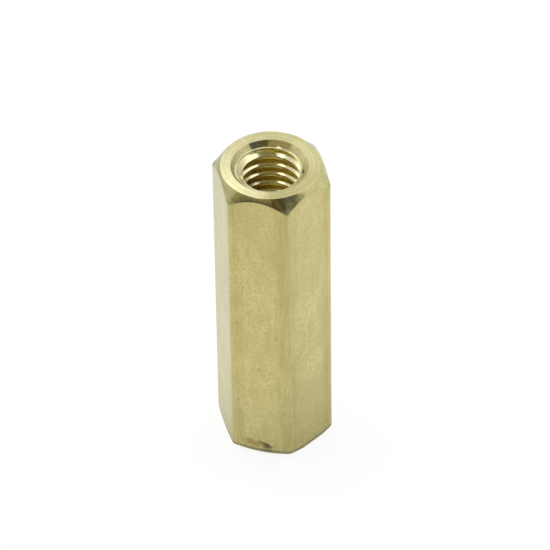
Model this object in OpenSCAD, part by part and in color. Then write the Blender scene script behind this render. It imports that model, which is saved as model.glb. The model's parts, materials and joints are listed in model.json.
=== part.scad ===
// Hex standoff: a length of hexagonal brass bar, faced, chamfered and countersunk at both ends,
// drilled through and tapped from end to end. It stands on its lower end face, with +Z along its axis,
// the origin at the centre of that face and one flat looking along -Y.

/* [Hex bar] */
// Width across the flats
across_flats = 4.5; // [4:0.1:8]
// Length from end face to end face
length = 15; // [6:1:60]
// Radius of the six drawn edges of the bar
arris_r = 0.2; // [0.05:0.05:0.6]

/* [Turned ends] */
// How far the round rim of each end face lies inside the flats
land_inset = 0.125; // [0.05:0.025:0.3]
// Slope of the upper end's chamfer, from the end face, in degrees
top_chamfer_angle = 55; // [20:1:60]
// Slope of the lower end's chamfer, from the end face, in degrees
bottom_chamfer_angle = 30; // [20:1:60]

/* [Threaded hole] */
// Nominal thread diameter
thread_d = 3; // [2:0.1:3.2]
// Thread pitch
thread_pitch = 0.5; // [0.25:0.05:0.7]
// Radial gap between the thread's outside and the rim of the countersink
countersink_margin = 0.1; // [0.02:0.01:0.2]
// Included angle of the countersinks, in degrees
countersink_angle = 90; // [60:5:120]

/* [Hidden] */
// Length by which cutting and trimming shapes run past the material
overrun = 0.5;
// Depth of a standard sixty degree internal thread, as a share of its pitch
thread_depth_share = 5 / 8 * cos(30);
sides = 6;
half_corner = 180 / sides;
$fn = 96;

flat_r = across_flats / 2;
corner_r = flat_r / cos(half_corner);
arris_centre_r = (flat_r - arris_r) / cos(half_corner);
flat_w = 2 * arris_centre_r * sin(half_corner);
land_r = flat_r - land_inset;
trim_r = corner_r + overrun;
top_drop = (trim_r - land_r) * tan(top_chamfer_angle);
bottom_rise = (trim_r - land_r) * tan(bottom_chamfer_angle);
minor_r = thread_d / 2 - thread_pitch * thread_depth_share;
countersink_r = thread_d / 2 + countersink_margin;
countersink_slope = 1 / tan(countersink_angle / 2);
countersink_depth = (countersink_r - minor_r) * countersink_slope;

// Section of the bar: one rectangle under each pair of opposite flats, and a round at each arris
module hex_section() {
  circle(r = arris_centre_r, $fn = sides);
  for (k = [0 : sides - 1])
    rotate(2 * half_corner * k) {
      translate([arris_centre_r, 0])
        circle(r = arris_r);
      rotate(half_corner)
        translate([0, -flat_w / 2])
          square([flat_r, flat_w]);
    }
}

// Body of revolution that the turning tools leave: flat end faces with a cone round each
module turned_envelope() {
  rotate_extrude()
    polygon([
      [0, 0],
      [land_r, 0],
      [trim_r, bottom_rise],
      [trim_r, length - top_drop],
      [land_r, length],
      [0, length]
    ]);
}

// Cone that opens one end of the hole, from its narrow end at the thread out past the end face
module countersink() {
  cylinder(
    h = countersink_depth + overrun,
    r1 = minor_r,
    r2 = countersink_r + overrun / countersink_slope
  );
}

// The hole at the thread's minor diameter, with a countersink at each end
module tapped_hole() {
  translate([0, 0, -overrun])
    cylinder(h = length + 2 * overrun, r = minor_r);
  translate([0, 0, length - countersink_depth])
    countersink();
  translate([0, 0, countersink_depth])
    mirror([0, 0, 1])
      countersink();
}

module standoff() {
  color([0.75, 0.69, 0.46])
    difference() {
      intersection() {
        linear_extrude(length)
          hex_section();
        turned_envelope();
      }
      tapped_hole();
    }
}

standoff();
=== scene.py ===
"""Hex standoff in brass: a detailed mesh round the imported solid, its finish, and a small light tent.

Lengths are in metres. The part's axis is +Z, and it stands on its lower end face at z = 0.
"""
import json
import math

import bpy
import numpy as np
from mathutils import Matrix, Vector


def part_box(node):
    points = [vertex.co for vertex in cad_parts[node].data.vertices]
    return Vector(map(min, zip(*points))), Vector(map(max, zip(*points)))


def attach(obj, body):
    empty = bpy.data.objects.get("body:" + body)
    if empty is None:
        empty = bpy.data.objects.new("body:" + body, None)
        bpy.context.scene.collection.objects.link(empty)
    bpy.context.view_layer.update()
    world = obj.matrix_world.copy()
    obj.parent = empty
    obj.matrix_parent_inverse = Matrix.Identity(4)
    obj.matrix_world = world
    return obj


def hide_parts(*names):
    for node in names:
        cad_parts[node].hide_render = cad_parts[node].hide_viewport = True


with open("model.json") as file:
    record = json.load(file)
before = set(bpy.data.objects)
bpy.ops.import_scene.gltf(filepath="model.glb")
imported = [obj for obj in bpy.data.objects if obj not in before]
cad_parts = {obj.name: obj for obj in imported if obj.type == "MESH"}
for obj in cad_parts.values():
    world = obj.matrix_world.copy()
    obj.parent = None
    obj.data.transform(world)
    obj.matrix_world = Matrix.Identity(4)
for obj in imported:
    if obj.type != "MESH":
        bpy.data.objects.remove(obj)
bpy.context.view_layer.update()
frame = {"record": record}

MM = 0.001

# Sizes read from the frame
box_low, box_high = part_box("standoff")
LENGTH = box_high.z - box_low.z
FLAT_R = (box_high.y - box_low.y) / 2
CORNER_REACH = (box_high.x - box_low.x) / 2
thread_mount = next(m for m in frame["record"]["mounts"] if m["name"] == "top_thread")
MINOR_R = thread_mount["dims"]["r_mm"] * MM
COUNTERSINK_DEPTH = (LENGTH - thread_mount["dims"]["length_mm"] * MM) / 2

# Sizes of the bar and its turned ends
SIDES = 6
HALF_CORNER = math.pi / SIDES
CORNER_SHARE = 1 / math.cos(HALF_CORNER)
ARRIS_R = (FLAT_R * CORNER_SHARE - CORNER_REACH) / (CORNER_SHARE - 1)
UPPER_LAND_R = FLAT_R - 0.13 * MM
LOWER_LAND_R = FLAT_R - 0.13 * MM
LOWER_LAND_WIDER = 0.13 * MM
UPPER_CHAMFER = math.radians(53)
LOWER_CHAMFER = math.radians(30)
LEAST_CHAMFER = 0.07 * MM
# The bar was held a little off centre while its ends were turned
UPPER_RUNOUT = Vector((-0.042, 0, 0)) * MM
LOWER_RUNOUT = Vector((0.045, 0, 0)) * MM
MOUTH_RUNOUT = Vector((-0.05, -0.055, 0)) * MM
COUNTERSINK_HALF_ANGLE = math.radians(45)
COUNTERSINK_R = MINOR_R + COUNTERSINK_DEPTH * math.tan(COUNTERSINK_HALF_ANGLE)
UPPER_MOUTH_R = COUNTERSINK_R + 0.045 * MM
BOTTOM_EDGE_R = 0.12 * MM
TOP_EDGE_R = 0.10 * MM
TOP_TIP_WORN = 0.04 * MM
WORN_FROM = FLAT_R + 0.1 * MM
# The upper chamfer is shallower at one corner at the back
SHALLOW_CORNER = math.radians(60)
SHALLOW_CORNER_RISE = 0.04 * MM
LAND_EDGE_R = 0.05 * MM
RUBBED_FROM = FLAT_R + 0.145 * MM

# Thread
PITCH = 0.5 * MM
MAJOR_R = 1.5 * MM
THREAD_TURN = math.radians(133)
CREST_EDGE_R = 0.015 * MM
ROOT_EDGE_R = 0.025 * MM
BURR_WIDTH = 0.07 * MM
BURR_HEIGHT = 0.055 * MM

# Mesh steps
FLAT_STEPS = 24
FRONT_FLAT_STEPS = 60
ARRIS_STEPS = 8
EDGE_STEPS = 3
FLAT_ROWS = 40
NICK_ROWS = 24
NICK_ROWS_TOP = 0.8 * MM
THREAD_COLUMNS = 112
SHARP_ANGLE = math.radians(24)

# Camera, fitted to the photograph's outline
CAMERA_AZIMUTH = math.radians(15.517)
CAMERA_ELEVATION = math.radians(43.398)
CAMERA_ROLL = math.radians(-0.880)
CAMERA_DISTANCE = 218.53 * MM
CAMERA_ASIDE = 0.0819 * MM
CAMERA_RAISED = 0.8346 * MM
LENS_MM = 332.62
SENSOR_MM = 36
CLIP_START = 0.01
CLIP_END = 10
GLOSSY_BOUNCES = 12

# Nick in the lower edge of the front flat: the two ends of its upper rim,
# across the flat and up from the end face
NICK_START = Vector((-0.07, 0.668)) * MM
NICK_END = Vector((0.47, 0.49)) * MM
NICK_DEPTH = 0.06 * MM
NICK_REACH = 0.32 * MM
NICK_STEEPNESS = 4
NICK_TILT = math.radians(18)
# Painted shade in and round it, in millimetres: place across and up, half width and height, then share
NICK_SHADES = [
    (0.14, 0.60, 0.38, 0.12, 0.65),
    (0.22, 0.51, 0.26, 0.18, 0.84),
    (0.26, 0.30, 0.30, 0.30, 0.4)]
NICK_SMUDGES = [(-0.34, 0.57, 0.55, 0.24, 0.6)]
# Pits in the front flat, in millimetres: place across and up, and half width
PITS = [
    (-0.711, 9.805, 0.05), (-1.002, 7.68, 0.06), (0.284, 7.309, 0.04),
    (0.724, 7.117, 0.05), (-0.056, 5.073, 0.05), (0.432, 4.95, 0.05),
    (-1.014, 3.038, 0.06), (-0.95, 2.3, 0.05), (1.05, 2.6, 0.05)]
PIT_TILT = 0.15
PIT_SHARE = 0.42
# Specks on the flat to its right, in millimetres: distance from the arris between them, height, half width
SPECKS = [
    (0.35, 8.8, 0.06), (0.82, 7.55, 0.07), (0.78, 7.19, 0.07),
    (0.95, 6.91, 0.06), (0.69, 5.84, 0.07), (0.55, 5.72, 0.06)]
SPECK_SHARE = 0.45
# Height of pits and specks over their width
PIT_TALLNESS = 2.0

# Tarnish on the flats beside each arris, from the one at +X round: after it and before the next one
STRIPS = [(0.3, 0.4), (0.35, 0.2), (0.4, 0.25), (0.1, 0.25), (0.45, 0.55), (0.45, 0.5)]
# How much of it reaches the arris itself
STRIPS_AT_ARRIS = [0.3, 0.3, 0.3, 0.3, 0.3, 0.9]
STRIP_WIDTH = 0.55 * MM
# Slopes of its strength over that width, up from the arris and down towards the middle of the flat
STRIP_RISE = 4
STRIP_FALL = 1.6
# Wear above 1 marks the rim of the lower end, which is painted darker as shade where it meets the floor
RIM_SHADE_LEVEL = 1.2
RIM_SHADE_ROWS = 4

# Highlights painted on the end faces round the axis: degrees from the front flat, growing towards +X, and
# level
PAINTED_SHINE = [(-180, 0.45), (-110, 0.65), (-75, 0.93), (-30, 0.95), (-6, 1.0), (4, 0.95), (15, 0.1), (74, 0.08),
         (105, 0.35), (152, 0.35), (180, 0.45)]

# Marks of the upper end, a bright scratch in the face and a dark one in the countersink:
# place, half size and turn
SCRATCH = (Vector((-1.55, 1.22, 15.0)) * MM, Vector((0.3, 0.06, 0.3)) * MM, math.radians(146))
GOUGE = (Vector((1.35, 0.18, 14.75)) * MM, Vector((0.2, 0.07, 0.25)) * MM, math.radians(-65))

FRONT_FLAT = 4
DRAWN, TURNED, THREADED = range(3)


# Mesh building

class Shell:
    """Vertices in rings, and the faces between them with their material."""

    def __init__(self):
        self.points = []
        self.wear_and_shade = []
        self.unrolled = []
        self.faces = []
        self.materials = []

    def ring(self, points, wear_and_shade=0.0, around=0.0):
        """Adds points, with their tarnish, or on the lower rim their painted shade, and their distance
        round the section. Returns their numbers.
        """
        first = len(self.points)
        self.points.extend(map(tuple, points))
        self.wear_and_shade.extend(np.broadcast_to(wear_and_shade, len(points)))
        flat = np.zeros((len(points), 3))
        flat[:, 0] = around
        flat[:, 1] = np.asarray(points)[:, 2]
        self.unrolled.extend(flat.ravel())
        return list(range(first, first + len(points)))

    def face(self, corners, material):
        kept = [c for k, c in enumerate(corners) if c != corners[k - 1]]
        if len(set(kept)) >= 3:
            self.faces.append(kept)
            self.materials.append(material)

    def band(self, lower, upper, material):
        """Quads between two closed rings of the same count, seen from outside."""
        for k in range(len(lower)):
            n = (k + 1) % len(lower)
            self.face([lower[k], lower[n], upper[n], upper[k]], material)

    def zipper(self, outer, inner, material, facing_up):
        """Triangles across a flat ring between an outer and an inner loop of different counts."""
        a, b = self.turns(outer), self.turns(inner)
        i = j = 0
        while i < len(outer) or j < len(inner):
            if j == len(inner) or (i < len(outer) and a[i + 1] <= b[j + 1]):
                corners = [outer[i], outer[(i + 1) % len(outer)], inner[j % len(inner)]]
                i += 1
            else:
                corners = [outer[i % len(outer)], inner[(j + 1) % len(inner)], inner[j]]
                j += 1
            self.face(corners if facing_up else corners[::-1], material)

    def turns(self, loop):
        """Angle of each vertex round the axis, counted up from the first one to a full turn."""
        angles = [math.atan2(self.points[v][1], self.points[v][0]) for v in loop]
        steps = [(b - a) % math.tau for a, b in zip(angles, angles[1:] + angles[:1])]
        return [angles[0] + s for s in np.concatenate([[0], np.cumsum(steps)])]


def hex_outline():
    """Points round the section of the bar, flats and rounded arrises, from the arris at +X."""
    centre_r = (FLAT_R - ARRIS_R) * CORNER_SHARE
    half_flat = centre_r * math.sin(HALF_CORNER)
    points = []
    for k in range(SIDES):
        corner = 2 * HALF_CORNER * k
        centre = centre_r * np.array([math.cos(corner), math.sin(corner)])
        for turn in np.linspace(-HALF_CORNER, HALF_CORNER, ARRIS_STEPS + 1):
            points.append(centre + ARRIS_R * np.array([math.cos(corner + turn), math.sin(corner + turn)]))
        normal = corner + HALF_CORNER
        out = np.array([math.cos(normal), math.sin(normal)])
        along = np.array([-out[1], out[0]])
        steps = FRONT_FLAT_STEPS if k == FRONT_FLAT else FLAT_STEPS
        for step in np.linspace(-half_flat, half_flat, steps + 1)[1:-1]:
            points.append(FLAT_R * out + step * along)
    return np.array(points)


def unit(v):
    return v / np.linalg.norm(v, axis=-1, keepdims=True)


def rounded_corner(before, at, after, radius, steps=EDGE_STEPS):
    """Rows of points that round the corner at each column, from the side of before to the side of after."""
    u, v = unit(before - at), unit(after - at)
    half = np.arccos(np.clip((u * v).sum(1), -1, 1)) / 2
    centre = at + unit(u + v) * (radius / np.sin(half))[:, None]
    start = (at + u * (radius / np.tan(half))[:, None] - centre) / radius
    end = (at + v * (radius / np.tan(half))[:, None] - centre) / radius
    turn = (math.pi - 2 * half)[:, None]
    rows = []
    for s in np.linspace(0, 1, steps + 1):
        swung = np.sin((1 - s) * turn) * start + np.sin(s * turn) * end
        rows.append(centre + radius * swung / np.sin(turn))
    return rows


def turned_circle(radius, runout, directions):
    """Distance from the bar's axis, along each direction, of a circle whose centre is off that axis."""
    return radius + directions @ np.array(runout.xy)


def outer_rows(outline):
    """Profile of each column from the lower end face up to the upper one, as rows of (radius, height)."""
    reach = np.hypot(*outline.T)
    columns = np.ones_like(reach)
    upper_land = turned_circle(UPPER_LAND_R, UPPER_RUNOUT, unit(outline))
    # The lower chamfer is shallower at the two sides
    lower_land = turned_circle(LOWER_LAND_R, LOWER_RUNOUT, unit(outline))
    lower_land += LOWER_LAND_WIDER * unit(outline)[:, 0] ** 2
    lower_land = np.minimum(lower_land, reach - LEAST_CHAMFER)
    tip = reach - TOP_TIP_WORN * np.clip((reach - WORN_FROM) / (CORNER_REACH - WORN_FROM), 0, 1) ** 2
    turns = np.arctan2(outline[:, 1], outline[:, 0])
    rise = SHALLOW_CORNER_RISE * np.clip(1 - np.abs(turns - SHALLOW_CORNER) / HALF_CORNER, 0, 1)

    def at(radius, height):
        return np.column_stack([radius * columns, height * columns])

    corners = [
        at(lower_land - 2 * LAND_EDGE_R, 0),
        at(lower_land, 0),
        at(reach, (reach - lower_land) * math.tan(LOWER_CHAMFER)),
        at(reach, LENGTH + rise - (tip - upper_land) * math.tan(UPPER_CHAMFER)),
        at(upper_land, LENGTH),
        at(upper_land - 2 * LAND_EDGE_R, LENGTH)]
    radii = (LAND_EDGE_R, BOTTOM_EDGE_R, TOP_EDGE_R, LAND_EDGE_R)
    bends = [rounded_corner(*corners[k:k + 3], radius) for k, radius in enumerate(radii)]
    low, high = bends[1][-1], bends[2][0]
    # Rows crowd towards the lower end, where the nick is
    nick_top = at(reach, NICK_ROWS_TOP)
    flat = [low + s * (nick_top - low) for s in np.linspace(0, 1, NICK_ROWS + 1)[1:]]
    flat += [nick_top + s * (high - nick_top) for s in np.linspace(0, 1, FLAT_ROWS + 1)[1:-1]]
    return bends[0] + bends[1], flat, bends[2] + bends[3]


def arris_wear(outline):
    """Tarnish at each point round the section: strong beside the arrises, none in the middle of a flat."""
    half_flat = (FLAT_R - ARRIS_R) * math.tan(HALF_CORNER)
    turns = np.arctan2(outline[:, 1], outline[:, 0]) % math.tau
    flats = (turns / (2 * HALF_CORNER)).astype(int) % SIDES
    normals = (2 * flats + 1) * HALF_CORNER
    along = outline[:, 1] * np.cos(normals) - outline[:, 0] * np.sin(normals)
    inside = np.clip((half_flat - np.abs(along)) / STRIP_WIDTH, 0, 1)
    strengths = np.array(STRIPS)[flats, (along > 0).astype(int)]
    at_arris = np.array(STRIPS_AT_ARRIS)[(flats + (along > 0)) % SIDES]
    fall = np.clip(STRIP_FALL * (1 - inside), 0, 1)
    return strengths * fall * np.clip(at_arris + STRIP_RISE * inside, 0, 1)


def nick_cut(x, z):
    """Depth of the nick at a place on the front flat: steep under its upper rim, fading out below it."""
    along = NICK_END - NICK_START
    s = ((x - NICK_START.x) * along.x + (z - NICK_START.y) * along.y) / along.length_squared
    below = (NICK_START.y + s * along.y - z) / NICK_REACH
    ends = np.clip(1 - (2 * s - 1) ** 2, 0, 1)
    scarp = np.clip(below * NICK_STEEPNESS, 0, 1) * np.clip(1 - below, 0, 1)
    return NICK_DEPTH * ends * scarp


def thread_profile():
    """Height in one pitch and radius of each row of the thread, from the middle of a crest to the next."""
    corners = np.array([
        (0, MINOR_R),
        (PITCH / 8, MINOR_R),
        (PITCH * 7 / 16, MAJOR_R),
        (PITCH / 2, MAJOR_R)])[:, None]
    crest = rounded_corner(*corners[:3], CREST_EDGE_R, steps=2)
    root = rounded_corner(*corners[1:], ROOT_EDGE_R, steps=2)
    flank = [crest[-1] + share * (root[0] - crest[-1]) for share in (0.12, 0.5, 0.88)]
    half = [row[0] for row in [corners[0]] + crest + flank + root]
    rows = half + [corners[3][0]] + [(PITCH - z, r) for z, r in half[:0:-1]]
    return np.array(rows)


def mouth_radius(z, upper_rim):
    """Radius of the countersinks' cones at a height, below the bore's own radius between them."""
    slope = math.tan(COUNTERSINK_HALF_ANGLE)
    return max(COUNTERSINK_R - z * slope, upper_rim - (LENGTH - z) * slope)


def bore_column(angle, profile, upper_rim):
    """Radii and heights of the rows up the bore at one angle, and which of them are on a cone.

    The turns start below the lower end face and go on past the upper one. Where the thread meets a cone,
    the nearest row moves onto the edge.
    """
    turns = math.ceil(LENGTH / PITCH) + 3
    lift = (angle + THREAD_TURN) / math.tau - 2
    heights = np.concatenate([PITCH * (lift + turn) + profile[:, 0] for turn in range(turns)])
    threads = np.tile(profile[:, 1], turns)
    cones = np.array([mouth_radius(z, upper_rim) for z in heights])
    over = threads - cones
    radii = np.maximum(threads, cones)
    on_cone = over <= 0
    edges = []
    for k in np.flatnonzero(over[:-1] * over[1:] < 0):
        share = over[k] / (over[k] - over[k + 1])
        row = k if share < 0.5 else k + 1
        heights[row] = heights[k] + share * (heights[k + 1] - heights[k])
        radii[row] = mouth_radius(heights[row], upper_rim)
        on_cone[row] = True
        edges.append(row)
    # The tap leaves a burr where a thread breaks out of the cone
    upper_half = heights > LENGTH / 2
    for row in edges:
        away = (radii - radii[row]) / BURR_WIDTH
        beside = on_cone & (away >= 0) & (upper_half == upper_half[row])
        burr = BURR_HEIGHT * np.clip(1 - away, 0, 1) * beside
        thread_inside = not on_cone[row - 1] if upper_half[row] else not on_cone[row + 1]
        if thread_inside:
            heights += np.where(upper_half, burr, -burr)
    return radii, heights, on_cone


def threaded_bore(shell):
    """The bore's wall, a right-hand helix opened by the countersinks. Returns its lower and upper rim."""
    angles = np.linspace(0, math.tau, THREAD_COLUMNS, endpoint=False)
    directions = np.column_stack([np.cos(angles), np.sin(angles)])
    upper_rims = turned_circle(UPPER_MOUTH_R, MOUTH_RUNOUT, directions)
    lower = shell.ring(np.column_stack([COUNTERSINK_R * directions, np.zeros(THREAD_COLUMNS)]))
    upper = shell.ring(np.column_stack([upper_rims[:, None] * directions, np.full(THREAD_COLUMNS, LENGTH)]))
    profile = thread_profile()
    columns = []
    cone_vertices = set(lower) | set(upper)
    for k, angle in enumerate(angles):
        column = []
        for r, z, on_cone in zip(*bore_column(angle, profile, upper_rims[k])):
            if z <= 0:
                column.append(lower[k])
            elif z >= LENGTH:
                column.append(upper[k])
            else:
                column += shell.ring([(r * math.cos(angle), r * math.sin(angle), z)])
                if on_cone:
                    cone_vertices.add(column[-1])
        columns.append(column)
    for k, column in enumerate(columns):
        after, skip = (columns[k + 1], 0) if k + 1 < THREAD_COLUMNS else (columns[0], len(profile))
        for row in range(len(column) - 1 - skip):
            corners = [column[row], column[row + 1], after[row + 1 + skip], after[row + skip]]
            shell.face(corners, TURNED if cone_vertices.issuperset(corners) else THREADED)
    return lower, upper


def standoff_mesh():
    shell = Shell()
    outline = hex_outline()
    direction = unit(outline)
    lower_end, flat, upper_end = outer_rows(outline)
    strips = arris_wear(outline)
    around = np.concatenate([[0], np.cumsum(np.linalg.norm(np.diff(outline, axis=0), axis=1))])
    rings = []
    for k, row in enumerate(lower_end + flat + upper_end):
        points = np.column_stack([direction * row[:, :1], row[:, 1]])
        front = np.abs(points[:, 1] + FLAT_R) < 0.5 * BOTTOM_EDGE_R
        points[front, 1] += nick_cut(points[front, 0], points[front, 2])
        # The lowest rows carry painted shade where the rim meets the floor; the others carry the arrises'
        # tarnish
        wear_and_shade = RIM_SHADE_LEVEL if k < len(lower_end) + RIM_SHADE_ROWS else strips
        rings.append(shell.ring(points, wear_and_shade, around))
    first_flat = len(lower_end) - 1
    last_flat = first_flat + len(flat) + 1
    for k in range(len(rings) - 1):
        shell.band(rings[k], rings[k + 1], DRAWN if first_flat <= k < last_flat else TURNED)
    lower_rim, upper_rim = threaded_bore(shell)
    shell.zipper(rings[0], lower_rim, TURNED, facing_up=False)
    shell.zipper(rings[-1], upper_rim, TURNED, facing_up=True)
    mesh = bpy.data.meshes.new("hex_standoff")
    mesh.from_pydata(shell.points, [], shell.faces)
    mesh.polygons.foreach_set("material_index", shell.materials)
    mesh.polygons.foreach_set("use_smooth", [True] * len(mesh.polygons))
    mesh.attributes.new("wear_and_shade", "FLOAT", "POINT").data.foreach_set("value", shell.wear_and_shade)
    mesh.attributes.new("unrolled", "FLOAT_VECTOR", "POINT").data.foreach_set("vector", shell.unrolled)
    mesh.set_sharp_from_angle(angle=SHARP_ANGLE)
    mesh.validate()
    return mesh


# Materials. The scales of their noise are in waves per metre.

# Noise of the flats: drawn out along the bar, with long streaks, and turned off the bar's axes
DRAWN_OUT = (1, 1, 0.65)
STREAKED_OUT = (1, 0.06, 0)
NOISE_TURN = (0.6, 0.4, 0.9)

# Tones of the drawn flats
FLAT_DEEP = (0.755, 0.67, 0.28)
FLAT_PALE = (0.925, 0.81, 0.395)
FLAT_BLOTCH = (0.63, 0.54, 0.205)
FLAT_CLOUD = (0.57, 0.485, 0.17)
FLAT_LIGHT = (0.95, 0.85, 0.46)
FLAT_GRAIN = (0.49, 0.41, 0.145)
FLAT_STREAK = (0.54, 0.465, 0.165)
TARNISH = (0.37, 0.33, 0.085)
# Painted shade on the rim of the lower end
RIM_PAINTED_SHADE = (0.34, 0.315, 0.16)
PIT_TONE = (0.30, 0.20, 0.06)
SPECK_TONE = (0.42, 0.27, 0.08)
SMUDGE_TONE = (0.37, 0.25, 0.06)
# Painted shade of the nick
NICK_SHADE_TONE = (0.09, 0.08, 0.01)

# Tones of the turned ends
# The end faces' dim and lit tones, between which the painted highlights are blended
LAND_PAINTED_DIM = (0.63, 0.565, 0.268)
LAND_PAINTED_LIT = (0.985, 0.92, 0.54)
LAND_CLOUD = (0.68, 0.61, 0.31)
CONE_PALE = (0.70, 0.63, 0.345)
CONE_DEEP = (0.58, 0.51, 0.255)
CHAMFER_PALE = (0.62, 0.565, 0.29)
CHAMFER_DEEP = (0.49, 0.44, 0.205)
# Painted shade at the chamfer's corner to the right and behind
CHAMFER_PAINTED_SHADE = (0.31, 0.285, 0.15)
SCRATCH_TONE = (1.0, 0.97, 0.76)
SCRATCH_SHARE = 0.5
GOUGE_TONE = (0.13, 0.11, 0.03)
GOUGE_SHARE = 0.9
# What tones are multiplied by: the chamfer on the right, as painted light, and the waves and rings that the
# tool leaves
CHAMFER_PAINTED_LIGHT = (1.16, 1.15, 1.03)
WAVE_SHADE = (0.82, 0.79, 0.7)
RING_SHADE = (0.72, 0.68, 0.56)
# Levels of painted shade on the countersink's left side and painted light on its right side
CONE_SHADED_LEFT = 0.82
CONE_LIT_RIGHT = 1.25
# Where painted light makes the chamfer lighter and yellower, to the right of the axis, and painted shade
# makes it darker, to the right of it and behind
PAINTED_LIGHT_FROM = 0.35 * FLAT_R
PAINTED_LIGHT_TO = 0.9 * FLAT_R
CHAMFER_SHADE_FROM = 0.4 * FLAT_R
CHAMFER_SHADE_TO = 0.65 * FLAT_R
# The countersink is torn in front and clean from a little behind the axis on
TORN_TO = -0.2 * MM
CLEAN_FROM = 0.9 * MM
TORN_ROUGHNESS = 0.17
CONE_ROUGHNESS = 0.13
LAND_ROUGHNESS = 0.23
RUBBED_ROUGHNESS = 0.7

# Tones of the thread, and of its rough part, which is also darkened as painted shade: depths under the end
# face and distances to the left of the axis
THREAD_DEEP = (0.90, 0.82, 0.47)
THREAD_PALE = (0.97, 0.90, 0.55)
THREAD_ROUGH_AND_SHADED = (0.62, 0.55, 0.29)
ROUGH_BOTTOM = 0.75 * MM
ROUGH_TOP = 0.45 * MM
ROUGH_FROM = 0.95 * MM
ROUGH_TO = 1.35 * MM

# Ovals: half depth of a spot on a flat, where an oval starts to fade, and how ragged noise makes its rim
SPOT_DEPTH = 0.3 * MM
OVAL_CORE = 0.45
OVAL_RAGGED = 0.35


class Nodes:
    """The node tree of a material or a world, with short calls to add and link its nodes."""

    def __init__(self, owner):
        owner.use_nodes = True
        self.owner = owner
        self.tree = owner.node_tree
        self.shader = self.tree.nodes.get("Principled BSDF")

    def feed(self, socket, value):
        """Links another node's output to a socket, or sets its own value. Colours come without alpha."""
        if isinstance(value, bpy.types.NodeSocket):
            self.tree.links.new(value, socket)
        else:
            socket.default_value = (*value, 1) if socket.type == "RGBA" else value

    def add(self, kind, inputs=None, **settings):
        node = self.tree.nodes.new(kind)
        for key, value in settings.items():
            setattr(node, key, value)
        for key, value in (inputs or {}).items():
            self.feed(node.inputs[key], value)
        return node

    def set(self, **inputs):
        for key, value in inputs.items():
            self.feed(self.shader.inputs[key.replace("_", " ")], value)

    def surface(self, shader):
        self.feed(self.tree.nodes["Material Output"].inputs["Surface"], shader.outputs[0])

    def noise(self, vector, scale, detail=2.0, roughness=0.5, dimensions="3D"):
        inputs = {"Vector": vector, "Scale": scale, "Detail": detail, "Roughness": roughness}
        return self.add("ShaderNodeTexNoise", inputs, noise_dimensions=dimensions).outputs["Fac"]

    def noise_along(self, distance, scale, detail=2.0):
        inputs = {"W": distance, "Scale": scale, "Detail": detail}
        return self.add("ShaderNodeTexNoise", inputs, noise_dimensions="1D").outputs["Fac"]

    def math(self, operation, first, second):
        return self.add("ShaderNodeMath", {0: first, 1: second}, operation=operation).outputs[0]

    def times(self, first, second):
        return self.math("MULTIPLY", first, second)

    def remap(self, value, low, high, to_low, to_high):
        inputs = {"Value": value, "From Min": low, "From Max": high, "To Min": to_low, "To Max": to_high}
        return self.add("ShaderNodeMapRange", inputs).outputs["Result"]

    def blend(self, factor, first, second):
        """Mix of two colours, which are sockets 6 and 7 of the mix node."""
        inputs = {"Factor": factor, 6: first, 7: second}
        return self.add("ShaderNodeMix", inputs, data_type="RGBA").outputs[2]

    def ramp(self, factor, stops):
        """Colour at a place between 0 and 1, from stops with their places and colours in rising order."""
        ramp = self.add("ShaderNodeValToRGB", {"Fac": factor})
        elements = ramp.color_ramp.elements
        elements[-1].position = stops[-1][0]
        for place, _ in stops[1:-1]:
            elements.new(place)
        for element, (place, colour) in zip(elements, stops):
            element.position = place
            element.color = (*colour, 1)
        return ramp.outputs["Color"]

    def place(self):
        return self.add("ShaderNodeTexCoord").outputs["Object"]

    def parts(self, vector):
        return self.add("ShaderNodeSeparateXYZ", {0: vector}).outputs

    def vector(self, operation, inputs, output="Vector"):
        return self.add("ShaderNodeVectorMath", inputs, operation=operation).outputs[output]

    def stretched(self, vector, scale):
        return self.vector("MULTIPLY", {0: vector, 1: scale})

    def scaled(self, vector, factor):
        return self.vector("SCALE", {0: vector, "Scale": factor})

    def minus(self, vector, offset):
        return self.vector("SUBTRACT", {0: vector, 1: offset})

    def dot(self, vector, direction):
        return self.vector("DOT_PRODUCT", {0: vector, 1: direction}, "Value")

    def length(self, vector):
        return self.vector("LENGTH", {0: vector}, "Value")

    def axis_distance(self, vector):
        return self.length(self.stretched(vector, (1, 1, 0)))

    def oval(self, vector, centre, half_size, rotation, noise=None):
        """1 in the middle of an oval, and 0 outside its rim, which noise makes ragged."""
        inputs = {"Vector": vector, "Location": centre, "Rotation": rotation, "Scale": half_size}
        local = self.add("ShaderNodeMapping", inputs, vector_type="TEXTURE").outputs["Vector"]
        away = self.length(local)
        if noise is not None:
            away = self.math("ADD", away, self.remap(noise, 0.3, 0.7, -OVAL_RAGGED, OVAL_RAGGED))
        return self.remap(away, OVAL_CORE, 1.0, 1, 0)

    def spot(self, vector, across, height, half_width, half_height, tilt, noise):
        """An oval on the front flat, placed and sized in millimetres."""
        centre = Vector((across * MM, -FLAT_R, height * MM))
        half_size = Vector((half_width * MM, SPOT_DEPTH, half_height * MM))
        return self.oval(vector, centre, half_size, (0, tilt, 0), noise)

    def marked(self, tone, vector, mark, share, colour, noise=None):
        """A tone with one oval mark in it, given by its place, half size and turn."""
        centre, half_size, turn = mark
        oval = self.oval(vector, centre, half_size, (0, 0, turn), noise)
        return self.blend(self.times(oval, share), tone, colour)

    def bump(self, height, distance, under=None):
        inputs = {"Height": height, "Distance": distance, "Strength": 1.0}
        if under is not None:
            inputs["Normal"] = under
        return self.add("ShaderNodeBump", inputs).outputs["Normal"]

    def rays(self):
        """Whether a ray is the camera's, and whether it comes off metal or through glass."""
        path = self.add("ShaderNodeLightPath").outputs
        mirrored = self.math("MAXIMUM", path["Is Glossy Ray"], path["Is Transmission Ray"])
        return path["Is Camera Ray"], mirrored


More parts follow.
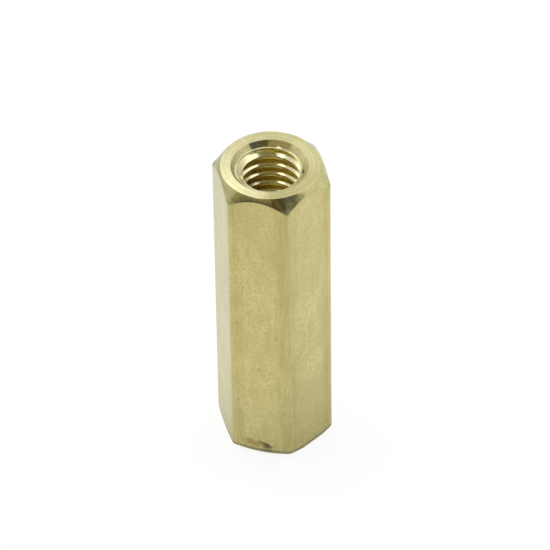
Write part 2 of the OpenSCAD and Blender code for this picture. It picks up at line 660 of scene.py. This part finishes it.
def drawn_brass():
    """Satin flats of the drawn bar: blotches, fine grain, lengthwise lines, pits, tarnished edges, and
    painted shade on the lower rim and in the nick.
    """
    n = Nodes(bpy.data.materials.new("drawn_brass"))
    place = n.place()
    unrolled = n.add("ShaderNodeAttribute", attribute_name="unrolled").outputs["Vector"]
    wear_and_shade = n.add("ShaderNodeAttribute", attribute_name="wear_and_shade").outputs["Fac"]
    turned = {"Vector": n.stretched(place, DRAWN_OUT), "Rotation": NOISE_TURN}
    askew = n.add("ShaderNodeMapping", turned).outputs["Vector"]
    large = n.noise(askew, 330, detail=1.0)
    blotch = n.noise(askew, 1300, detail=2.0)
    cloud = n.noise(askew, 4600, detail=4.0, roughness=0.7)
    grain = n.noise(askew, 12000, detail=3.0, roughness=0.8)
    streak = n.noise(n.stretched(unrolled, STREAKED_OUT), 6000, detail=3.0, roughness=0.6, dimensions="2D")
    tone = n.blend(n.remap(large, 0.3, 0.7, 0, 1), FLAT_DEEP, FLAT_PALE)
    tone = n.blend(n.remap(blotch, 0.3, 0.7, 0.7, 0.1), tone, FLAT_BLOTCH)
    tone = n.blend(n.remap(cloud, 0.3, 0.6, 0.52, 0), tone, FLAT_CLOUD)
    tone = n.blend(n.remap(cloud, 0.5, 0.8, 0, 0.14), tone, FLAT_LIGHT)
    tone = n.blend(n.remap(grain, 0.4, 0.75, 0, 0.85), tone, FLAT_GRAIN)
    tone = n.blend(n.remap(streak, 0.45, 0.75, 0, 0.34), tone, FLAT_STREAK)
    patchy = n.remap(n.math("ADD", streak, cloud), 0.7, 1.25, 0.15, 1)
    tone = n.blend(n.times(n.remap(wear_and_shade, 0, 1, 0, 0.75), patchy), tone, TARNISH)
    # Painted shade along the rim of the lower end
    tone = n.blend(n.remap(wear_and_shade, 1, RIM_SHADE_LEVEL, 0, 0.95), tone, RIM_PAINTED_SHADE)
    pores = n.add("ShaderNodeTexVoronoi", {"Vector": place, "Scale": 1800.0}).outputs["Distance"]
    pit = n.remap(pores, 0.03, 0.07, 0.7, 0)
    for across, height, half_width in PITS:
        spot = n.spot(place, across, height, half_width, PIT_TALLNESS * half_width, PIT_TILT, grain)
        pit = n.math("MAXIMUM", pit, spot)
    tone = n.blend(n.times(pit, PIT_SHARE), tone, PIT_TONE)
    arris = Vector((FLAT_R * math.tan(HALF_CORNER), -FLAT_R, 0))
    along_flat = Vector((math.cos(2 * HALF_CORNER), math.sin(2 * HALF_CORNER), 0))
    for along, height, half_width in SPECKS:
        centre = arris + along_flat * along * MM + Vector((0, 0, height * MM))
        half_size = Vector((half_width, half_width, PIT_TALLNESS * half_width)) * MM
        tone = n.marked(tone, place, (centre, half_size, 0), SPECK_SHARE, SPECK_TONE, cloud)
    # The brown smudge beside the nick, and painted shade in and round the nick
    for marks, colour, noise in ((NICK_SMUDGES, SMUDGE_TONE, cloud), (NICK_SHADES, NICK_SHADE_TONE, grain)):
        for across, height, half_width, half_height, share in marks:
            spot = n.spot(place, across, height, half_width, half_height, NICK_TILT, noise)
            tone = n.blend(n.times(spot, share), tone, colour)
    n.set(Base_Color=tone, Metallic=1.0)
    n.set(Roughness=n.remap(cloud, 0.3, 0.7, 0.32, 0.42))
    n.set(Coat_Weight=0.5, Coat_Roughness=0.3)
    lines = n.bump(streak, 0.002 * MM)
    pocked = n.bump(n.times(pit, -1.0), 0.012 * MM, under=lines)
    n.set(Normal=n.bump(grain, 0.003 * MM, under=pocked))
    return n.owner


def turned_brass():
    """Bright end faces, chamfers and countersinks. The rings that the tool leaves spread a reflection.
    Highlights are painted on the end faces, and light and shade on the chamfer and the countersink.
    """
    n = Nodes(bpy.data.materials.new("turned_brass"))
    place = n.place()
    split = n.parts(place)
    runout = n.scaled(UPPER_RUNOUT, n.math("GREATER_THAN", split["Z"], LENGTH / 2))
    spun = n.axis_distance(n.minus(place, runout))
    rings = n.noise_along(spun, 12000, detail=4.0)
    waves = n.noise_along(spun, 7000, detail=1.0)
    cloud = n.noise(place, 1500, detail=3.0)
    mottle = n.noise(place, 4500, detail=4.0, roughness=0.7)
    mottled = n.remap(mottle, 0.35, 0.7, 0, 1)
    radius = n.axis_distance(place)
    aside = n.dot(place, outward(CAMERA_AZIMUTH + math.pi / 2, 0))
    behind = n.dot(place, -outward(CAMERA_AZIMUTH, 0))
    normal = n.add("ShaderNodeTexCoord").outputs["Normal"]
    faced = n.remap(n.math("ABSOLUTE", n.dot(normal, (0, 0, 1)), 0), 0.88, 0.98, 0, 1)
    sloping = n.remap(faced, 0, 1, 1, 0)
    outside = n.remap(radius, COUNTERSINK_R, UPPER_LAND_R, -2, 3)

    # Highlights are painted on the end faces in sectors round the axis
    turn = n.math("ARCTAN2", split["X"], n.times(split["Y"], -1.0))
    shares = [(0.5 + degrees / 360, (level, level, level)) for degrees, level in PAINTED_SHINE]
    land = n.blend(n.ramp(n.remap(turn, -math.pi, math.pi, 0, 1), shares), LAND_PAINTED_DIM, LAND_PAINTED_LIT)
    land = n.blend(n.remap(cloud, 0.35, 0.7, 0, 0.36), land, LAND_CLOUD)
    chamfer = n.blend(mottled, CHAMFER_PALE, CHAMFER_DEEP)
    # Painted light on the chamfer's right side, and painted shade at its corner to the right and behind
    lit_on_right = n.remap(aside, PAINTED_LIGHT_FROM, PAINTED_LIGHT_TO, 0, 1)
    chamfer = n.blend(lit_on_right, chamfer, n.stretched(chamfer, CHAMFER_PAINTED_LIGHT))
    shaded_corner = n.remap(n.math("MINIMUM", aside, behind), CHAMFER_SHADE_FROM, CHAMFER_SHADE_TO, 0, 0.8)
    chamfer = n.blend(shaded_corner, chamfer, CHAMFER_PAINTED_SHADE)
    cone = n.blend(mottled, CONE_PALE, CONE_DEEP)
    # Painted shade on the countersink's left side, painted light on its right
    cone = n.scaled(cone, n.remap(aside, -COUNTERSINK_R, COUNTERSINK_R, CONE_SHADED_LEFT, CONE_LIT_RIGHT))
    tone = n.blend(faced, cone, land)
    tone = n.blend(n.remap(waves, 0.4, 0.7, 0, 0.4), tone, n.stretched(tone, WAVE_SHADE))
    traced = n.times(n.remap(rings, 0.45, 0.62, 0, 1), n.remap(cloud, 0.35, 0.65, 0.3, 1))
    traced = n.times(traced, n.remap(mottle, 0.35, 0.65, 0.3, 1))
    tone = n.blend(traced, tone, n.stretched(tone, RING_SHADE))
    tone = n.blend(n.remap(n.times(outside, sloping), 0, 1, 0, 1), tone, chamfer)
    tone = n.marked(tone, place, SCRATCH, SCRATCH_SHARE, SCRATCH_TONE, mottle)
    tone = n.marked(tone, place, GOUGE, GOUGE_SHARE, GOUGE_TONE)
    n.set(Base_Color=tone, Metallic=1.0)

    # The end faces are duller than the cones round and inside them. The corners of the chamfers are rubbed,
    # and the countersink is bright at the back and torn at the front.
    torn = n.times(n.remap(behind, TORN_TO, CLEAN_FROM, TORN_ROUGHNESS, 0), n.remap(outside, 0, 1, 1, 0))
    roughness = n.math("ADD", n.remap(faced, 0, 1, CONE_ROUGHNESS, LAND_ROUGHNESS), n.times(torn, sloping))
    rubbed = n.remap(radius, RUBBED_FROM, CORNER_REACH, 0, RUBBED_ROUGHNESS)
    n.set(Roughness=n.math("ADD", n.times(rubbed, mottle), roughness))
    n.set(Anisotropic=1.0, Anisotropic_Rotation=0.25)
    n.set(Tangent=n.add("ShaderNodeTangent", direction_type="RADIAL", axis="Z").outputs["Tangent"])
    coarse = n.bump(waves, 0.004 * MM)
    n.set(Normal=n.bump(rings, 0.003 * MM, under=coarse))
    return n.owner


def thread_brass():
    """Cut thread: bright flanks with fine tearing along the cut, and painted shade on the rough side of the
    first turn.
    """
    n = Nodes(bpy.data.materials.new("thread_brass"))
    place = n.place()
    tear = n.noise(n.stretched(place, (1, 1, 3)), 6000, detail=3.0)
    tone = n.blend(tear, THREAD_DEEP, THREAD_PALE)
    # The first turn is rough on one side, where the countersink cuts it away, and its tone there is
    # darkened as painted shade
    height = n.dot(place, (0, 0, 1))
    started = n.remap(height, LENGTH - ROUGH_BOTTOM, LENGTH - ROUGH_TOP, 0, 1)
    aside = n.dot(place, outward(CAMERA_AZIMUTH - math.pi / 2, 0))
    rough = n.times(started, n.remap(aside, ROUGH_FROM, ROUGH_TO, 0, 1))
    lines = n.remap(n.noise_along(height, 16000), 0.4, 0.6, 0.65, 1)
    # Painted shade together with the torn lines on the rough side of the first turn
    tone = n.blend(n.times(rough, lines), tone, THREAD_ROUGH_AND_SHADED)
    tone = n.marked(tone, place, GOUGE, GOUGE_SHARE, GOUGE_TONE)
    n.set(Base_Color=tone, Metallic=1.0)
    n.set(Roughness=n.math("ADD", n.remap(tear, 0.3, 0.7, 0.12, 0.2), n.times(rough, 0.2)))
    n.set(Normal=n.bump(tear, 0.001 * MM))
    return n.owner


def make_standoff():
    piece = link_object("hex_standoff", standoff_mesh())
    for material in (drawn_brass(), turned_brass(), thread_brass()):
        piece.data.materials.append(material)
    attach(piece, "root")
    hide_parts("standoff")


# Stage and light. Azimuths are counted from the camera's, in degrees where they stand in a list.

FLOOR_SIDE = 4.0
FLOOR_DROP = 0.02 * MM
AMBIENT = 1.0
WHITE = (1.0, 1.0, 1.0)

# The tent that metal and glass see: its levels, and the sines of the elevations between which it lightens
TENT_COLOUR = (0.98, 1.0, 1.02)
TENT_AT_HORIZON = 0.78
TENT_OVERHEAD = 0.98
TENT_LOW = 0.25
TENT_HIGH = 0.6
TENT_ON_LEFT = 0.98
TENT_ON_RIGHT = 1.18
TENT_SIDE_AZIMUTH = math.radians(60)
TENT_SIDE_REACH = 0.7
# A dimmer patch of it: azimuth, elevation, the angles where it is full and where it ends, and level
TENT_PATCH = (-95, 55, 22, 36, 0.7)

# The paper that metal and glass see, with its own glow and with painted shade in front of the part and
# close round it
PAPER_IN_FRONT = (0.88, 0.88, 0.87)
PAPER_BEHIND = (0.96, 1.02, 1.12)
PAPER_ON_LEFT = 0.97
PAPER_ON_RIGHT = 1.12
PAPER_FAR_OFF = 0.7
PAPER_NEAR = 22 * MM
PAPER_REACH = 110 * MM
PAPER_SHADED = 12 * MM
PAPER_LIT = 0.72
PAPER_GLOW = 0.38
SHADE_LEVEL = 0.84
SHADE_AZIMUTH = math.radians(50)
SHADE_ASIDE = 2.5 * MM
SHADE_REACH = 7 * MM
# The paper that the camera sees, and the plain paper that the other rays meet
SEEN_PAPER = (0.16, 0.16, 0.16)
SEEN_GLOW = 0.89
PLAIN_PAPER = (0.8, 0.8, 0.8)

ROOM_RADIUS = 0.6
ROOM_STEPS = 24
# Outline of the tent's open front: elevation, then left and right azimuth
ROOM_OUTLINE = [(2, -86, 62), (22, -80, 72), (38, -70, 60), (50, -67, 66), (66, -64, 90), (84, -60, 90)]
# Its colours from left to right, low down and further up, and the one at the top
ROOM_COLOURS = [
    (0.0, (0.60, 0.58, 0.45)), (0.08, (0.45, 0.43, 0.31)), (0.15, (0.23, 0.22, 0.145)),
    (0.25, (0.13, 0.12, 0.07)), (0.42, (0.10, 0.09, 0.05)), (0.50, (0.115, 0.086, 0.036)),
    (0.605, (0.135, 0.105, 0.055)), (0.63, (0.065, 0.075, 0.095)), (0.705, (0.07, 0.085, 0.11)),
    (0.74, (0.30, 0.31, 0.32)), (0.79, (0.46, 0.46, 0.455)), (0.86, (0.25, 0.25, 0.21)),
    (1.0, (0.45, 0.45, 0.40))]
RAISED_COLOURS = [
    (0.0, (0.42, 0.385, 0.25)), (0.5, (0.42, 0.385, 0.25)), (0.54, (0.15, 0.135, 0.07)),
    (0.74, (0.14, 0.125, 0.07)), (0.79, (0.115, 0.135, 0.17)), (1.0, (0.13, 0.15, 0.18))]
TOP_COLOUR = (0.20, 0.18, 0.105)
# Shares of its height between which one goes over into the next
RAISED_FROM = 0.3
RAISED_TO = 0.42
TOP_FROM = 0.6
TOP_TO = 0.8
# Uprights in it: number, how far they depart from its colours, and where they set in
UPRIGHTS = 26.0
UPRIGHTS_SHARE = 0.3
UPRIGHTS_FROM = 0.1
UPRIGHTS_TO = 0.3

# Soft boxes: azimuth, elevation, width, height, distance, radiance
SOFTBOXES = {
    "left_softbox": (-50, 72, 0.06, 0.13, 0.4, 2.3),
    "right_softbox": (101, 51, 0.15, 0.20, 0.4, 0.35),
    "back_softbox": (-134, 54, 0.26, 0.22, 0.45, 0.9)}


def outward(azimuth, elevation):
    """Direction from the object, azimuth 0 towards -Y and growing towards +X."""
    flat = math.cos(elevation)
    return Vector((math.sin(azimuth) * flat, -math.cos(azimuth) * flat, math.sin(elevation)))


def link_object(name, data):
    made = bpy.data.objects.new(name, data)
    bpy.context.scene.collection.objects.link(made)
    return made


def make_world():
    """Plain ambient light. Metal and glass see a pale tent, lighter overhead, and the camera sees white."""
    n = Nodes(bpy.data.worlds.new("tent"))
    direction = n.add("ShaderNodeTexCoord").outputs["Generated"]
    aside = n.dot(direction, outward(CAMERA_AZIMUTH + TENT_SIDE_AZIMUTH, 0))
    side = n.remap(aside, -TENT_SIDE_REACH, TENT_SIDE_REACH, TENT_ON_LEFT, TENT_ON_RIGHT)
    tent = n.times(side, TENT_AT_HORIZON)
    risen = n.remap(n.parts(direction)["Z"], TENT_LOW, TENT_HIGH, 0, 1)
    tent = n.math("ADD", tent, n.times(risen, n.math("SUBTRACT", TENT_OVERHEAD, tent)))
    azimuth, elevation, full, edge = (math.radians(degrees) for degrees in TENT_PATCH[:4])
    near = n.dot(direction, outward(CAMERA_AZIMUTH + azimuth, elevation))
    tent = n.times(tent, n.remap(near, math.cos(edge), math.cos(full), 1, TENT_PATCH[4]))
    seen, mirrored = n.rays()
    level = n.math("MAXIMUM", n.times(mirrored, tent), n.math("SUBTRACT", AMBIENT, mirrored))
    background = n.tree.nodes["Background"].inputs
    n.feed(background["Color"], n.blend(mirrored, WHITE, TENT_COLOUR))
    n.feed(background["Strength"], n.math("MAXIMUM", level, seen))
    bpy.context.scene.world = n.owner


def make_floor():
    """White paper. The camera sees it nearly burnt out, with a faint shadow.

    Metal and glass see it lit, with painted shade on it: brightest behind the object, dimmer in front of
    it, towards the dim room, darker close round it and on the left, and falling off further out.
    """
    half = FLOOR_SIDE / 2
    mesh = bpy.data.meshes.new("floor")
    corners = [(x, y, -FLOOR_DROP) for x, y in ((-half, -half), (half, -half), (half, half), (-half, half))]
    mesh.from_pydata(corners, [], [(0, 1, 2, 3)])
    floor = link_object("floor", mesh)
    n = Nodes(bpy.data.materials.new("white_paper"))
    n.tree.nodes.remove(n.shader)
    place = n.place()
    # Painted shade: the paper is darker in front of the part, close round it and to the left
    behind = n.remap(n.dot(place, -outward(CAMERA_AZIMUTH, 0)), -PAPER_SHADED, PAPER_SHADED, 0, 1)
    shaded = n.blend(behind, PAPER_IN_FRONT, PAPER_BEHIND)
    fall = n.remap(n.axis_distance(place), PAPER_NEAR, PAPER_REACH, 1.0, PAPER_FAR_OFF)
    ahead = n.minus(place, outward(CAMERA_AZIMUTH + SHADE_AZIMUTH, 0) * SHADE_ASIDE)
    fall = n.times(fall, n.remap(n.axis_distance(ahead), 0, SHADE_REACH, SHADE_LEVEL, 1.0))
    aside = n.dot(place, outward(CAMERA_AZIMUTH + math.pi / 2, 0))
    side = n.remap(aside, -PAPER_REACH / 2, PAPER_REACH / 2, PAPER_ON_LEFT, PAPER_ON_RIGHT)
    fall = n.times(fall, side)
    glow = n.add("ShaderNodeEmission", {"Color": shaded, "Strength": n.times(fall, PAPER_GLOW)})
    lit = n.add("ShaderNodeBsdfDiffuse", {"Color": n.scaled(shaded, n.times(fall, PAPER_LIT))})
    shown = n.add("ShaderNodeAddShader", {0: lit.outputs[0], 1: glow.outputs[0]})
    plain = n.add("ShaderNodeBsdfDiffuse", {"Color": PLAIN_PAPER})
    faint = n.add("ShaderNodeBsdfDiffuse", {"Color": SEEN_PAPER})
    white = n.add("ShaderNodeEmission", {"Strength": SEEN_GLOW})
    burnt = n.add("ShaderNodeAddShader", {0: faint.outputs[0], 1: white.outputs[0]})
    seen, mirrored = n.rays()
    unseen = n.add("ShaderNodeMixShader", {0: mirrored, 1: plain.outputs[0], 2: shown.outputs[0]})
    n.surface(n.add("ShaderNodeMixShader", {0: seen, 1: unseen.outputs[0], 2: burnt.outputs[0]}))
    mesh.materials.append(n.owner)


def make_room():
    """Dim room beyond the camera, seen in the metal through the open front of the tent."""
    rows, lefts, rights = zip(*ROOM_OUTLINE)
    points, faces, places = [], [], []
    for row in range(ROOM_STEPS + 1):
        elevation = rows[0] + (rows[-1] - rows[0]) * row / ROOM_STEPS
        left, right = np.interp(elevation, rows, lefts), np.interp(elevation, rows, rights)
        for column in range(ROOM_STEPS + 1):
            azimuth = CAMERA_AZIMUTH + math.radians(left + (right - left) * column / ROOM_STEPS)
            points.append(ROOM_RADIUS * outward(azimuth, math.radians(elevation)))
            places.append((column / ROOM_STEPS, row / ROOM_STEPS))
    for row in range(ROOM_STEPS):
        for column in range(ROOM_STEPS):
            first = row * (ROOM_STEPS + 1) + column
            faces.append((first, first + 1, first + ROOM_STEPS + 2, first + ROOM_STEPS + 1))
    mesh = bpy.data.meshes.new("dim_room")
    mesh.from_pydata(points, [], faces)
    layer = mesh.uv_layers.new(name="across")
    for loop in mesh.loops:
        layer.data[loop.index].uv = places[loop.vertex_index]
    room = link_object("dim_room", mesh)
    room.visible_camera = False
    n = Nodes(bpy.data.materials.new("dim_room"))
    split = n.parts(n.add("ShaderNodeTexCoord").outputs["UV"])
    across, up = split["X"], split["Y"]
    colour = n.blend(n.remap(up, RAISED_FROM, RAISED_TO, 0, 1), n.ramp(across, ROOM_COLOURS),
                     n.ramp(across, RAISED_COLOURS))
    colour = n.blend(n.remap(up, TOP_FROM, TOP_TO, 0, 1), colour, TOP_COLOUR)
    uprights = n.noise_along(across, UPRIGHTS, detail=1.0)
    uneven = n.times(n.remap(uprights, 0.38, 0.62, -UPRIGHTS_SHARE, UPRIGHTS_SHARE),
                     n.remap(across, UPRIGHTS_FROM, UPRIGHTS_TO, 0, 1))
    n.surface(n.add("ShaderNodeEmission", {"Color": colour, "Strength": n.math("ADD", uneven, 1.0)}))
    mesh.materials.append(n.owner)


def make_softbox(name, azimuth, elevation, width, height, distance, radiance):
    light = bpy.data.lights.new(name, "AREA")
    light.shape = "RECTANGLE"
    light.size = width
    light.size_y = height
    light.energy = radiance * math.pi * width * height
    lamp = link_object(name, light)
    direction = outward(CAMERA_AZIMUTH + math.radians(azimuth), math.radians(elevation))
    lamp.location = direction * distance
    lamp.rotation_euler = direction.to_track_quat("Z", "Y").to_euler()


def make_camera():
    back = outward(CAMERA_AZIMUTH, CAMERA_ELEVATION)
    level = Vector((math.cos(CAMERA_AZIMUTH), math.sin(CAMERA_AZIMUTH), 0))
    rise = back.cross(level)
    right = level * math.cos(CAMERA_ROLL) + rise * math.sin(CAMERA_ROLL)
    up = back.cross(right)
    centre = Vector((0, 0, LENGTH / 2))
    data = bpy.data.cameras.new("camera")
    data.sensor_width = SENSOR_MM
    data.lens = LENS_MM
    data.clip_start = CLIP_START
    data.clip_end = CLIP_END
    camera = link_object("camera", data)
    place = centre + back * CAMERA_DISTANCE + right * CAMERA_ASIDE + up * CAMERA_RAISED
    turn = Matrix((right, up, back)).transposed().to_4x4()
    camera.matrix_world = Matrix.Translation(place) @ turn
    bpy.context.scene.camera = camera


bpy.context.scene.view_settings.view_transform = "Standard"
bpy.context.scene.cycles.glossy_bounces = GLOSSY_BOUNCES
make_standoff()
make_world()
make_floor()
make_room()
for softbox, setting in SOFTBOXES.items():
    make_softbox(softbox, *setting)
make_camera()
